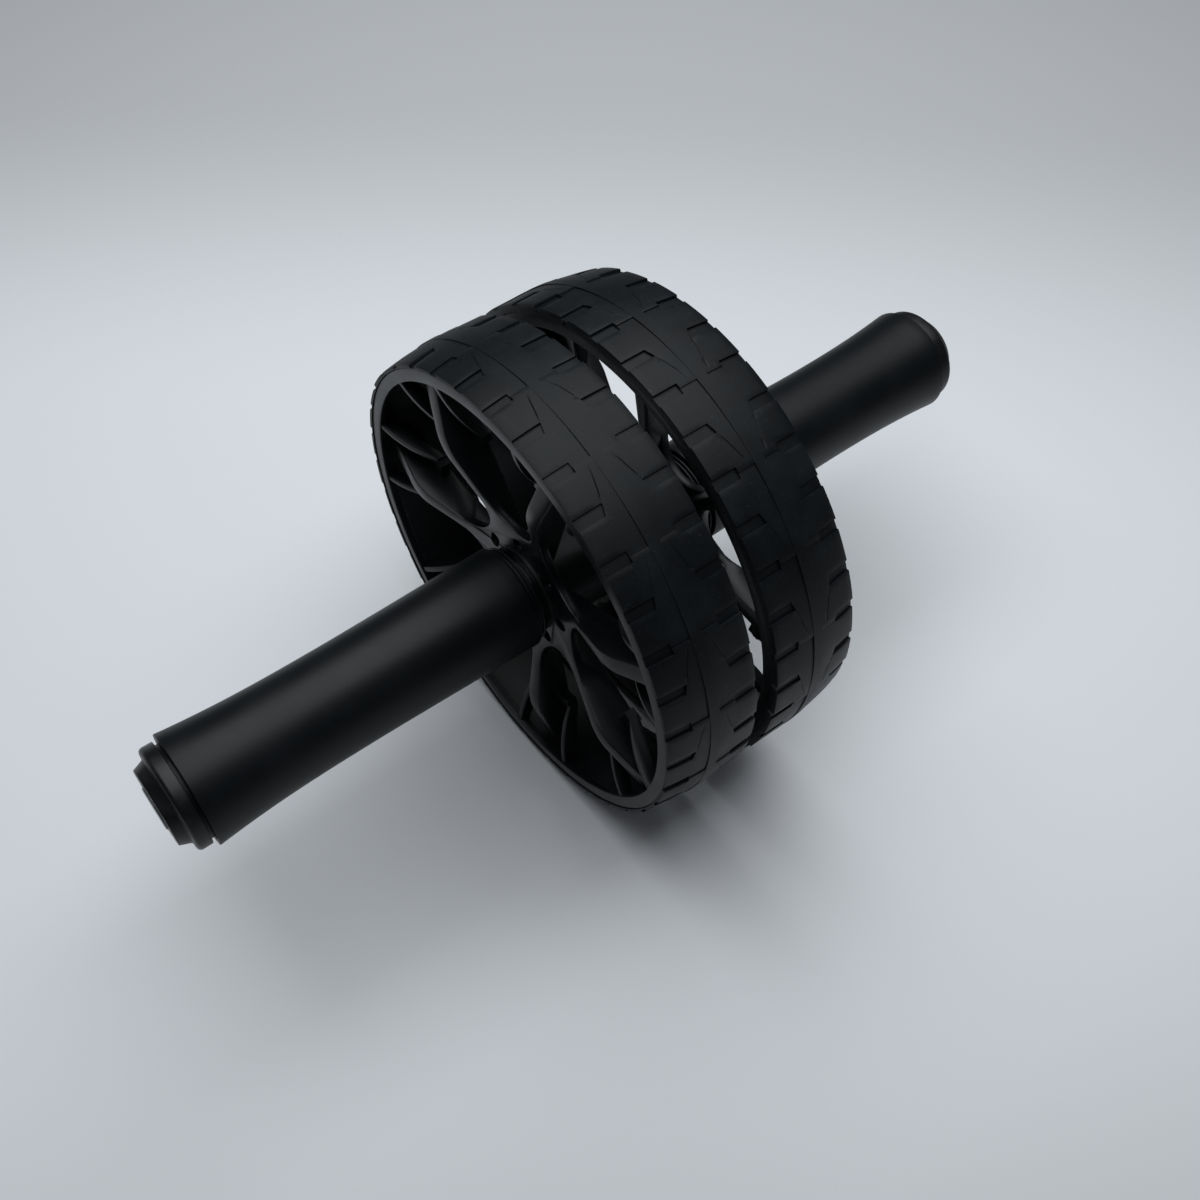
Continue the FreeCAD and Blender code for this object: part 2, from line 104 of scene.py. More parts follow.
# %% Place the camera
SENSOR_WIDTH, LENS, NEAR_CLIP = 36.0, 39.795, 0.01
EYE = Vector((WHEELS_MIDDLE - 0.16220, -0.21145, 0.40735))
RIGHT_AXIS = Vector((0.79187, -0.61070, 0.0))
UP_AXIS = Vector((0.48946, 0.63466, 0.59805))
BACK_AXIS = Vector((-0.36522, -0.47357, 0.80147))


def new_object(name, data):
    """A new object, linked into the scene."""
    item = bpy.data.objects.new(name, data)
    bpy.context.collection.objects.link(item)
    return item


camera = new_object("camera", bpy.data.cameras.new("camera"))
bpy.context.scene.camera = camera
camera.data.sensor_width = SENSOR_WIDTH
camera.data.lens = LENS
camera.data.clip_start = NEAR_CLIP
camera.matrix_world = Matrix.LocRotScale(
    EYE, Matrix((RIGHT_AXIS, UP_AXIS, BACK_AXIS)).transposed().to_quaternion(), None)
print("camera", [round(value, 3) for value in camera.location])

# %% [markdown]
# Colours are noted the way a picture editor shows them, and one function turns them into light values.
# Materials are small node trees, and one function adds a node with its settings and links, so that a tree
# reads as a short list of steps.

# %% Colour and node helpers


def colour(text):
    """Light values of a picture-editor colour, by the usual screen curve."""
    values = [int(text[start:start + 2], 16) / 255 for start in (0, 2, 4)]
    return [v / 12.92 if v <= 0.04045 else ((v + 0.055) / 1.055) ** 2.4 for v in values] + [1.0]


def add(tree, kind, settings=None, **links):
    """Add a node, set its properties or sockets, and link sockets into its inputs."""
    node = tree.nodes.new(kind)
    for name, value in (settings or {}).items():
        if name in node.inputs:
            node.inputs[name].default_value = value
        else:
            setattr(node, name, value)
    for name, socket in links.items():
        tree.links.new(socket, node.inputs[name.replace("_", " ")])
    return node


print("middle grey as light", round(colour("808080")[0], 3))

# %% [markdown]
# Nearly everything on the roller is black, so it is the sheen that tells the materials apart. Each could have
# its own tree, but they differ only in numbers, so one surface builder covers them all: a base colour worn
# paler in soft patches, a roughness that wanders with the patches, and a fine grain in the surface. The sizes
# are in millimetres. The real grain is too fine to show from here, so it is drawn about half a millimetre wide.

# %% Surface builder
MIX_FIRST, MIX_SECOND, MIX_RESULT = 6, 7, 2
WEAR_LOW, WEAR_HIGH = 0.45, 0.75
SHEEN_LOW, SHEEN_HIGH = 0.3, 0.7
SPECK_MM, SPECK_LOW, SPECK_HIGH, DUST_COLOUR = 0.9, 0.68, 0.78, "6f7478"


def surface(name, base, worn, rough, patch_mm, grain_mm, grain_depth_mm, metal=0.0, gloss=0.5, dust=0.0):
    """A material: base and worn colour, roughness range, patch and grain sizes, metal, gloss and share of dust."""
    material = bpy.data.materials.new(name)
    material.use_nodes = True
    tree = material.node_tree
    shader = tree.nodes["Principled BSDF"]
    shader.inputs["Metallic"].default_value = metal
    shader.inputs["Specular IOR Level"].default_value = gloss
    place = add(tree, "ShaderNodeTexCoord").outputs["Object"]
    patches = add(tree, "ShaderNodeTexNoise", {"Scale": 1 / (patch_mm * MM), "Detail": 6.0, "Roughness": 0.6},
                  Vector=place)
    wear = add(tree, "ShaderNodeMapRange", {"From Min": WEAR_LOW, "From Max": WEAR_HIGH}, Value=patches.outputs[0])
    tone = add(tree, "ShaderNodeMix", {"data_type": "RGBA"}, Factor=wear.outputs["Result"])
    tone.inputs[MIX_FIRST].default_value = colour(base)
    tone.inputs[MIX_SECOND].default_value = colour(worn)
    finish = tone.outputs[MIX_RESULT]
    if dust:
        specks = add(tree, "ShaderNodeTexNoise", {"Scale": 1 / (SPECK_MM * MM), "Detail": 1.0}, Vector=place)
        lit = add(tree, "ShaderNodeMapRange", {"From Min": SPECK_LOW, "From Max": SPECK_HIGH, "To Max": dust},
                  Value=specks.outputs[0])
        dusted = add(tree, "ShaderNodeMix", {"data_type": "RGBA"}, Factor=lit.outputs["Result"])
        tree.links.new(finish, dusted.inputs[MIX_FIRST])
        dusted.inputs[MIX_SECOND].default_value = colour(DUST_COLOUR)
        finish = dusted.outputs[MIX_RESULT]
    tree.links.new(finish, shader.inputs["Base Color"])
    sheen = add(tree, "ShaderNodeMapRange", {"From Min": SHEEN_LOW, "From Max": SHEEN_HIGH,
                                             "To Min": rough[0], "To Max": rough[1]}, Value=patches.outputs[0])
    tree.links.new(sheen.outputs["Result"], shader.inputs["Roughness"])
    grain = add(tree, "ShaderNodeTexNoise", {"Scale": 1 / (grain_mm * MM), "Detail": 2.0}, Vector=place)
    bump = add(tree, "ShaderNodeBump", {"Distance": grain_depth_mm * MM}, Height=grain.outputs[0])
    tree.links.new(bump.outputs["Normal"], shader.inputs["Normal"])
    return material


# %% [markdown]
# The tyres are hard black rubber and the grips a softer, smoother rubber. The wheels, caps and covers are
# injection-moulded plastic, and the tube and its fittings are steel. The table is keyed by the names that the
# engineering pieces already use, so that both kinds of piece share one set of finishes.

# %% Make the materials
MATERIALS = {
    # moulded solid rubber: dark, slightly cool, with a broad soft sheen over a fine pebble and a little dust
    "tyre_rubber": surface("solid_tyre_rubber", "070b0e", "12171a", (0.42, 0.56), 14, 0.5, 0.03,
                           gloss=0.175, dust=0.06),
    # glass-filled nylon: near black with a low, even gloss
    "wheel_plastic": surface("glass_filled_nylon", "04080a", "080c0e", (0.31, 0.39), 10, 0.6, 0.008, gloss=0.25),
    # smooth thermoplastic grip: a clear satin sheen along its length
    "grip_rubber": surface("satin_grip_elastomer", "05090c", "0a0e11", (0.4, 0.47), 18, 0.4, 0.012, gloss=0.21),
    # moulded end caps: satin black, a little paler where hands have rubbed them
    "cap_plastic": surface("satin_abs_cap", "090b0c", "181b1d", (0.32, 0.46), 5, 0.5, 0.01, gloss=0.26),
    # glossy press-in cover in a mid grey, chosen as a painted highlight: the grey stands in for the light reflected
    # by its edge, which shows as a pale streak against the black cap
    "cover_plastic": surface("cover_grey_painted_highlight", "5c6063", "64686b", (0.14, 0.2), 6, 0.6, 0.003),
    # self-lubricating black acetal bush: dark with a waxy sheen
    "bush_plastic": surface("black_acetal_bush", "101213", "191b1c", (0.35, 0.45), 8, 0.8, 0.004),
    # chromed tube: bright and slightly cool
    "tube_steel": surface("chromed_tube_steel", "b4b8bc", "a4a8ac", (0.16, 0.24), 12, 1.2, 0.003, metal=1.0),
    # blackened fittings: dark metal with a faint sheen
    "plain_steel": surface("black_oxide_steel", "2a2c2e", "36383b", (0.34, 0.44), 6, 0.7, 0.005, metal=1.0),
    # blued spring steel: dark grey metal
    "spring_steel": surface("blued_spring_steel", "3c3e42", "494b50", (0.3, 0.4), 6, 0.7, 0.004, metal=1.0),
}
print("materials", len(MATERIALS))

# %% [markdown]
# A piece made for the right-hand side serves the left as well. It could be mirrored, but on the roller the two
# sides are the same parts turned half round, so the left one is the right one turned about the upright middle
# line. Each wheel also stands at its own angle about the axle, as it happened to stop in the picture.

# %% Stand a piece on the axle


def stand(bm, node, material, body, phase=0.0, smooth=40.0):
    """Turn, lift and name a piece drawn in millimetres about the axle, and hand it to the frame."""
    turn = Matrix.Rotation(math.radians(phase), 4, "X")
    if node.startswith("left"):
        turn = Matrix.Rotation(math.pi, 4, "Z") @ turn
    bm.transform(Matrix.Translation((WHEELS_MIDDLE, 0, AXLE_HEIGHT)) @ turn @ Matrix.Scale(MM, 4))
    for face in bm.faces:
        face.smooth = True
    for edge in bm.edges:
        if len(edge.link_faces) == 2:
            edge.smooth = edge.calc_face_angle() < math.radians(smooth)
    mesh = bpy.data.meshes.new(node)
    bm.to_mesh(mesh)
    bm.free()
    mesh.materials.append(MATERIALS[material])
    piece = new_object(f"{node}_dressed", mesh)
    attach(piece, body)
    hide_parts(node)
    print(node, len(mesh.polygons), "faces")


# %% [markdown]
# Rims, hubs, grips and caps are round about the axle. They could be built from cylinders, but a spun outline
# gives every step and every rounded corner at once. The outline lies flat in the plane of the axle, its
# corners are rounded first, and it is then swept right round.

# %% Turn an outline about the axle
WELD = 0.0005


def rounded(bm, geom, offset, segments=2, affect="EDGES", clamp=True):
    """Round the given edges or corners."""
    bmesh.ops.bevel(bm, geom=geom, offset=offset, segments=segments, profile=0.5, affect=affect,
                    clamp_overlap=clamp, material=-1)


def outline_face(bm, points, rounding, segments):
    """A flat face through (x, radius) points, rounded at the corners that are off the axle."""
    face = bm.faces.new([bm.verts.new((x, radius, 0)) for x, radius in points])
    rounded(bm, [vert for vert in face.verts if vert.co.y > 0], rounding, segments, "VERTICES")
    bm.faces.ensure_lookup_table()
    return bm.faces[-1]


def turned(points, rounding, steps=96):
    """A closed solid of revolution from an (x, radius) outline; points on the axle run together."""
    bm = bmesh.new()
    face = outline_face(bm, points, rounding, 3)
    edges, verts = face.edges[:], face.verts[:]
    bmesh.ops.delete(bm, geom=[face], context="FACES_ONLY")
    bmesh.ops.spin(bm, geom=edges + verts, axis=(1, 0, 0), cent=(0, 0, 0), angle=math.tau,
                   steps=steps, use_merge=True)
    bmesh.ops.remove_doubles(bm, verts=bm.verts[:], dist=WELD)
    loose = [edge for edge in bm.edges if not edge.link_faces]
    bmesh.ops.delete(bm, geom=loose, context="EDGES")
    bmesh.ops.recalc_face_normals(bm, faces=bm.faces[:])
    return bm


# %% [markdown]
# ## The tyres
# The tread repeats every twenty degrees: a plain band runs down the middle, each side of it is a long shallow
# ramp that ends in a small step, pockets open to both shoulders, and a fine crease joins the slanted pockets
# to the next step. Cutting all that from a round tyre would need many booleans. One repeat is drawn flat
# instead, like the strip of a mould, and wrapped round at the end.

# %% Draw one flat repeat of the tread
REPEAT, ROW, FIRST, LAST = 20.0, 1.25, -5.0, 15.0
BAND, SHOULDER, EDGE = 1.75, 7.5, (TYRE_END - TYRE_START) / 2
COLUMNS = (BAND, 3.1, 4.5, 6.0, SHOULDER, 10.2, 13.0, EDGE)
SLANT_START, SLANT_LEAN, SLANT_ROWS = 8.75, 0.4, (8.0, 12.0)
TINY = 1e-4


def flat_tread():
    """One repeat as a flat sheet: x across the tyre in mm, y along it in degrees, z up from the crown in mm."""
    bm = bmesh.new()
    across = [-x for x in reversed(COLUMNS)] + [0.0] + list(COLUMNS)
    rows = round(REPEAT / ROW)
    bmesh.ops.create_grid(bm, x_segments=len(across) - 1, y_segments=rows, size=1.0)
    for vert in bm.verts:
        vert.co.x = across[round((vert.co.x + 1) / 2 * (len(across) - 1))]
        vert.co.y = FIRST + round((vert.co.y + 1) / 2 * rows) * ROW
    # the second pocket of each repeat has a slanted inner end
    for vert in bm.verts:
        if abs(abs(vert.co.x) - SHOULDER) < TINY and SLANT_ROWS[0] < vert.co.y < SLANT_ROWS[1]:
            vert.co.x -= math.copysign((vert.co.y - SLANT_START) * SLANT_LEAN, vert.co.x)
    return bm


print("rows in a repeat", round(REPEAT / ROW), "tyre width", round(2 * EDGE, 1), "mm")

# %% [markdown]
# A crease is a shallow groove as thin as a pencil line. A painted line would vanish from the mesh, so three
# close cuts are made along it, and the middle one is pushed down later.

# %% Cut the creases
CREASE_START, CREASE_END = Vector((6.5, 11.25, 0)), Vector((3.6, 18.75, 0))
CREASE_HALF_WIDTH, CREASE_TRIM, ON_LINE = 0.22, 0.02, 0.01
CREASE_SHIFTS = (0.0, -REPEAT)


def cut_creases(bm):
    """Cut three close lines along each crease, from a slanted pocket towards the next step."""
    for side in (1, -1):
        for shift in CREASE_SHIFTS:
            a = Vector((CREASE_START.x * side, CREASE_START.y + shift, 0))
            b = Vector((CREASE_END.x * side, CREASE_END.y + shift, 0))
            normal = Vector((b.y - a.y, a.x - b.x, 0)).normalized()
            for offset in (-CREASE_HALF_WIDTH, 0.0, CREASE_HALF_WIDTH):
                faces = [f for f in bm.faces if BAND < f.calc_center_median().x * side < SHOULDER
                         and a.y - ROW < f.calc_center_median().y < b.y]
                geom = dict.fromkeys(item for f in faces for item in (*f.verts, *f.edges, f))
                bmesh.ops.bisect_plane(bm, geom=list(geom), dist=TINY, plane_co=a + normal * offset,
                                       plane_no=normal)


def on_crease(at):
    """Whether a point of the flat repeat lies on the middle line of a crease."""
    for shift in CREASE_SHIFTS:
        along = (at.y - shift - CREASE_START.y) / (CREASE_END.y - CREASE_START.y)
        line = CREASE_START.lerp(CREASE_END, along)
        if CREASE_TRIM < along < 1 - CREASE_TRIM and abs(abs(at.x) - line.x) < ON_LINE:
            return True
    return False


print("crease length across the tyre", round(CREASE_START.x - CREASE_END.x, 1), "mm")

# %% [markdown]
# Ramps and pockets are lower than the band, with upright walls between. Extruding a group of faces downwards
# makes those walls without a gap. The ramps are first marked at two levels, so that a wall stands at each
# step, and the levels are then tilted into one long slope.

# %% Sink the ramps and the pockets
RISE, STEP_DEPTH, POCKET_DEPTH, CREASE_DEPTH = 0.06, 0.4, 1.0, 0.16
UPPER_MARK, LOWER_MARK = -1.0, -2.0
POCKET_INNER = CREASE_START.x - 0.1
FLAT_WELD = 0.002


def new_verts(made):
    """The points among the things that an operator made."""
    return [item for item in made if isinstance(item, bmesh.types.BMVert)]


def lower(bm, faces, depth):
    """Extrude faces down to a depth, and leave no wall on the outer edges of the repeat."""
    made = bmesh.ops.extrude_face_region(bm, geom=faces)["geom"]
    bmesh.ops.delete(bm, geom=[face for face in faces if face.is_valid], context="FACES")
    for vert in new_verts(made):
        vert.co.z = depth
    open_ends = [f for f in bm.faces if all(abs(v.co.x) > EDGE - TINY for v in f.verts)
                 or all(v.co.y > LAST - TINY for v in f.verts) or all(v.co.y < FIRST + TINY for v in f.verts)]
    bmesh.ops.delete(bm, geom=open_ends, context="FACES")


def sink_ramps(bm):
    """Mark the ramps at two levels, tilt them from the foot of a step to the head of the next, and crease them."""
    lower(bm, [f for f in bm.faces if abs(f.calc_center_median().x) > BAND], UPPER_MARK)
    lower(bm, [f for f in bm.faces if all(v.co.z < UPPER_MARK / 2 for v in f.verts)
               and f.calc_center_median().y > 0], LOWER_MARK)
    for vert in bm.verts:
        if vert.co.z < (UPPER_MARK + LOWER_MARK) / 2:
            vert.co.z = -RISE - STEP_DEPTH * (1 - vert.co.y / REPEAT)
        elif vert.co.z < UPPER_MARK / 2 and vert.co.y < TINY:
            vert.co.z = -RISE + STEP_DEPTH * vert.co.y / REPEAT
        elif vert.co.z < UPPER_MARK / 2:
            vert.co.z = -RISE * (1 - vert.co.y / LAST)
        if vert.co.z < 0 and on_crease(vert.co):
            vert.co.z -= CREASE_DEPTH


def sink_pockets(bm):
    """Sink the pockets of both shoulders, two to a repeat."""
    pockets = [f for f in bm.faces if min(abs(v.co.x) for v in f.verts) > POCKET_INNER
               and min(abs(f.calc_center_median().y), abs(f.calc_center_median().y - REPEAT / 2)) < ROW]
    lower(bm, pockets, -POCKET_DEPTH)
    bmesh.ops.remove_doubles(bm, verts=bm.verts[:], dist=FLAT_WELD)


print("tread depths", RISE, STEP_DEPTH, POCKET_DEPTH, "mm")

# %% [markdown]
# The flat repeat is wrapped onto the crown, which is nearly level on the inner half and falls away towards
# the outer shoulder. Eighteen copies close the ring, and the open edges are drawn in to the bond line, where
# the rubber sits on the rim. The edges of the blocks are rounded last, because that is what catches the light.

# %% Wrap the tread into a tyre
CROWN_START, CROWN_DROP, INNER_DROP = 11.0, 2.0, 0.2
BOND_RADIUS = RIM_RADIUS + 0.03
RING_WELD, BOND_MARGIN = 0.01, 0.2
BLOCK_CORNER, BLOCK_ROUNDING, NARROWEST_FACE = 0.9, 0.26, 0.25


def crown(x):
    """Radius of the crown at a distance across the tyre from its middle."""
    along = x + EDGE
    if along < CROWN_START:
        return TYRE_RADIUS - INNER_DROP * (1 - along / CROWN_START)
    return TYRE_RADIUS - CROWN_DROP * ((along - CROWN_START) / (2 * EDGE - CROWN_START)) ** 2


def wrap(bm):
    """Bend the flat repeat about the axle and copy it right round."""
    for vert in bm.verts:
        radius, angle = crown(vert.co.x) + vert.co.z, math.radians(vert.co.y)
        vert.co = (TYRE_MIDDLE + vert.co.x, radius * math.cos(angle), radius * math.sin(angle))
    copies = round(360 / REPEAT)
    bmesh.ops.spin(bm, geom=bm.verts[:] + bm.edges[:] + bm.faces[:], axis=(1, 0, 0), cent=(0, 0, 0),
                   angle=math.radians(REPEAT) * (copies - 1), steps=copies - 1, use_duplicate=True)
    bmesh.ops.remove_doubles(bm, verts=bm.verts[:], dist=RING_WELD)


def close_ring(bm):
    """Draw the open edges in to the bond line and join them underneath."""
    made = bmesh.ops.extrude_edge_only(bm, edges=[e for e in bm.edges if e.is_boundary])["geom"]
    for vert in new_verts(made):
        vert.co.yz = Vector(vert.co.yz).normalized() * BOND_RADIUS
    bmesh.ops.bridge_loops(bm, edges=[e for e in bm.edges if e.is_boundary])
    bmesh.ops.recalc_face_normals(bm, faces=bm.faces[:])


def face_width(face):
    """About how wide a face is across its longest edge."""
    return face.calc_perimeter() / 2 - max(edge.calc_length() for edge in face.edges)


def round_blocks(bm):
    """Round the outer edges of the blocks, where the faces beside them leave room."""
    rims = [e for e in bm.edges if e.calc_face_angle_signed() > BLOCK_CORNER
            and max(v.co.yz.length for v in e.verts) > BOND_RADIUS + BOND_MARGIN
            and min(face_width(f) for f in e.link_faces) > NARROWEST_FACE]
    rounded(bm, rims, BLOCK_ROUNDING)
    bmesh.ops.dissolve_degenerate(bm, dist=FLAT_WELD, edges=bm.edges[:])


print("crown falls", round(TYRE_RADIUS - crown(EDGE), 2), "mm at the outer shoulder")

# %% [markdown]
# Both tyres are one moulding, so the ring is made once and copied. The tread of each stands at its own angle.

# %% Build the tyres
TREAD_PHASE = {"left": 12.0, "right": 5.0}
TYRE_SMOOTH = 25
ring = flat_tread()
for make in (cut_creases, sink_ramps, sink_pockets, wrap, close_ring, round_blocks):
    make(ring)
for side in SIDES:
    stand(ring.copy(), f"{side}_tyre", "tyre_rubber", f"{side}_wheel_set", TREAD_PHASE[side], TYRE_SMOOTH)

# %% [markdown]
# ## The wheels
# Each wheel is one moulding: a hub, seven dished spokes that swell forward to a rounded knee, and a lipped
# rim. A thin rib sweeps in from the rim on either side of every spoke and ends on a short cross bar. Spokes
# and ribs are thick plates on planes through the axle, so each is a flat outline, extruded and rounded.

# %% Plates for spokes and ribs
SHARP = 1.0
KNEE_SEGMENTS = 8


def join(bm, part):
    """Add a finished part to a larger piece."""
    mesh = bpy.data.meshes.new("joining")
    part.to_mesh(mesh)
    part.free()
    bm.from_mesh(mesh)
    bpy.data.meshes.remove(mesh)


def thicken(bm, way):
    """Extrude every face along a way, so that a flat outline becomes a plate."""
    made = bmesh.ops.extrude_face_region(bm, geom=bm.faces[:])["geom"]
    bmesh.ops.translate(bm, verts=new_verts(made), vec=way)
    bmesh.ops.recalc_face_normals(bm, faces=bm.faces[:])


def sharp_edges(bm):
    """The edges that turn more than about sixty degrees."""
    return [edge for edge in bm.edges if edge.calc_face_angle() > SHARP]


def plate(bm, points, thickness, angle, edge, knee=None, flare=None):
    """A round-edged plate from an (x, radius) outline, with a corner rounded to a knee and a wider outer end."""
    part = bmesh.new()
    part.faces.new([part.verts.new((x, radius, -thickness / 2)) for x, radius in points])
    if knee is not None:
        corner, reach = knee
        part.verts.ensure_lookup_table()
        rounded(part, [part.verts[corner]], reach, KNEE_SEGMENTS, "VERTICES", clamp=False)
    thicken(part, (0, 0, thickness))
    rounded(part, sharp_edges(part), edge, clamp=False)
    if flare is not None:
        start, growth = flare
        bmesh.ops.bisect_plane(part, geom=part.verts[:] + part.edges[:] + part.faces[:],
                               plane_co=(0, start, 0), plane_no=(0, 1, 0))
        for vert in part.verts:
            vert.co.z *= 1 + growth * max(0.0, vert.co.y - start) / (RIM_RADIUS - start)
    part.transform(Matrix.Rotation(math.radians(angle), 4, "X"))
    join(bm, part)


# %% [markdown]
# The roots of the spokes run into a web round the hub, with a round arch between each pair. A disc with its
# edge moved out along the arches follows them exactly, where a row of cut circles would leave sharp horns.

# %% The hub web
SPOKES, SPOKE_WIDTH = 7, 4.4
PITCH = 360 / SPOKES
WEB_RADIUS, WEB_STEPS, ARCH_SHARE = 22.6, 28, 0.999
WEB_DEPTH, WEB_LEAN, WEB_INSET, WEB_THICKNESS, WEB_EDGE = 3.2, 0.2, 1.0, 3.1, 0.6


def arch_radius(angle):
    """Edge of the hub web at an angle: round arches that run from spoke to spoke."""
    half = math.radians(PITCH / 2)
    beta = (angle % (2 * half)) - half
    centre = (WEB_RADIUS - SPOKE_WIDTH / 2) / (1 - math.sin(half))
    arch = centre - WEB_RADIUS
    reach = math.asin(arch / centre) * ARCH_SHARE
    beta = max(-reach, min(reach, beta))
    return centre * math.cos(beta) - math.sqrt(arch ** 2 - (centre * math.sin(beta)) ** 2)


def hub_web():
    """The web that joins the roots of the spokes, with an arch between each pair."""
    bm = bmesh.new()
    bmesh.ops.create_circle(bm, cap_ends=True, segments=SPOKES * WEB_STEPS, radius=1.0)
    for vert in bm.verts:
        angle = math.atan2(vert.co.y, vert.co.x)
        radius = arch_radius(angle)
        depth = HUB_END - WEB_DEPTH + (radius - WEB_RADIUS) * WEB_LEAN
        vert.co = (depth, radius * math.cos(angle), radius * math.sin(angle))
    bmesh.ops.inset_region(bm, faces=bm.faces[:], thickness=WEB_INSET, use_even_offset=True)
    thicken(bm, (WEB_THICKNESS, 0, 0))
    rounded(bm, sharp_edges(bm), WEB_EDGE)
    return bm


print("one spoke every", round(PITCH, 2), "degrees")

# %% [markdown]
# The outline of a spoke was read from the picture: it leaves the hub just behind its face, comes almost level
# with the wheel's face at the knee, and dips again before it meets the rim. It widens outwards, as the
# moulding does. The ribs bow gently, and a short arc of bar ties their tips to the spoke.

# %% Spokes, ribs and cross bars
KNEE_RADIUS, KNEE_DEPTH, KNEE = 51.3, 0.4, (2, 5.0)
SPOKE_BACK, SPOKE_RIM_DEPTH, SPOKE_INSET, SPOKE_EDGE = 14.0, 6.0, 0.2, 0.9
SPOKE_FLARE = (36.0, 0.85)
RIM_ROOT = RIM_RADIUS - 0.8
BARREL = 15.08
SPOKE_ROOT = BARREL - 1.5
RIB_ANGLE, RIB_TIP_RADIUS, RIB_HEIGHT, RIB_WIDTH, RIB_BOW, RIB_EDGE = 10.4, 52.0, 3.5, 2.2, 1.7, 0.5
RIB_TIP, RIB_END = TYRE_END - 8.9, TYRE_END - 0.5
BAR_START, BAR_END, BAR_ROUNDING, BAR_STEPS = RIB_TIP_RADIUS - 2.4, RIB_TIP_RADIUS + 2.2, 0.35, 10


def bowed(start, end, bow, count=8):
    """Points of a gentle bow from start to end, swelling to the right of the way."""
    way = Vector(end) - Vector(start)
    side = Vector((way.y, -way.x)).normalized()
    return [tuple(Vector(start) + way * t + side * bow * 4 * t * (1 - t))
            for t in (step / count for step in range(count + 1))]


def cross_bar(angle):
    """The bar that ties the tips of two ribs to the spoke between them."""
    bar = bmesh.new()
    outline_face(bar, [(RIB_TIP, BAR_START), (RIB_TIP, BAR_END), (RIB_TIP - RIB_HEIGHT, BAR_END),
                       (RIB_TIP - RIB_HEIGHT, BAR_START)], BAR_ROUNDING, 2)
    bar.transform(Matrix.Rotation(math.radians(angle - RIB_ANGLE), 4, "X"))
    bmesh.ops.spin(bar, geom=bar.faces[:], axis=(1, 0, 0), cent=(0, 0, 0),
                   angle=math.radians(2 * RIB_ANGLE), steps=BAR_STEPS)
    bmesh.ops.recalc_face_normals(bar, faces=bar.faces[:])
    return bar


def add_spoke(bm, angle):
    """A spoke, its two ribs and their cross bar."""
    plate(bm, [(HUB_END - SPOKE_INSET, SPOKE_ROOT), (HUB_END - SPOKE_INSET, WEB_RADIUS),
               (TYRE_END - KNEE_DEPTH, KNEE_RADIUS), (TYRE_END - SPOKE_RIM_DEPTH, RIM_ROOT),
               (TYRE_END - SPOKE_BACK, RIM_ROOT), (TYRE_END - SPOKE_BACK, SPOKE_ROOT)],
          SPOKE_WIDTH, angle, SPOKE_EDGE, KNEE, SPOKE_FLARE)
    rib = bowed((RIB_TIP, RIB_TIP_RADIUS), (RIB_END, RIM_ROOT), RIB_BOW)
    rib += [(RIB_END - RIB_HEIGHT, RIM_ROOT), (RIB_TIP - RIB_HEIGHT, RIB_TIP_RADIUS)]
    for way in (-1, 1):
        plate(bm, rib, RIB_WIDTH, angle + way * RIB_ANGLE, RIB_EDGE)
    join(bm, cross_bar(angle))


print("ribs reach in to", RIB_TIP_RADIUS, "mm from the axle")

# %% [markdown]
# Rim and hub are turned outlines. All the parts overlap, as drawn, and one boolean joins them into a single
# skin while it cuts the seven small holes round the hub. That leaves no hidden faces inside the wheel.

# %% Rim, hub and holes
LIP_WIDTH, LIP_HEIGHT, RIM_INSET, INNER_WALL, OUTER_WALL = 3.0, 4.2, 0.5, 1.8, 2.4
RIM_ROUNDING, RIM_STEPS, HUB_ROUNDING = 0.35, 180, 0.4
HUB_BORE, COLLAR_RADIUS, COLLAR_LENGTH, INNER_FLANGE = 12.08, BARREL + 1.5, 3, 17.5
HOLE_RADIUS, HOLE_CIRCLE, HOLE_DEPTH, HOLE_SIDES = 2.4, 17.6, 8.0, 32


def rim():
    """The rim: a thin wall with a lip at each end."""
    start, inner_lip, outer_lip = TYRE_START + RIM_INSET, TYRE_START + LIP_WIDTH, RIM_END - LIP_WIDTH
    lip = RIM_RADIUS - LIP_HEIGHT
    return turned([(start, lip), (inner_lip, lip), (inner_lip, RIM_RADIUS - INNER_WALL),
                   (outer_lip, RIM_RADIUS - OUTER_WALL), (outer_lip, lip), (RIM_END, lip),
                   (RIM_END, RIM_RADIUS), (start, RIM_RADIUS)], RIM_ROUNDING, RIM_STEPS)


def hub():
    """The hub: a barrel with a collar at its outer end and a flange at its inner end."""
    collar, flange = HUB_END - COLLAR_LENGTH, HUB_START + COLLAR_LENGTH
    return turned([(HUB_START, HUB_BORE), (HUB_END, HUB_BORE), (HUB_END, COLLAR_RADIUS), (collar, COLLAR_RADIUS),
                   (collar, BARREL), (flange, BARREL), (flange, INNER_FLANGE), (HUB_START, INNER_FLANGE)],
                  HUB_ROUNDING)


def hole_tool():
    """Seven pins, one between each pair of spokes."""
    bm = bmesh.new()
    for hole in range(SPOKES):
        turn = Matrix.Rotation(math.radians((hole + 0.5) * PITCH), 4, "X")
        place = Matrix.Translation((HUB_END, HOLE_CIRCLE, 0)) @ Matrix.Rotation(math.pi / 2, 4, "Y")
        bmesh.ops.create_cone(bm, cap_ends=True, segments=HOLE_SIDES, radius1=HOLE_RADIUS, radius2=HOLE_RADIUS,
                              depth=HOLE_DEPTH, matrix=turn @ place)
    return bm


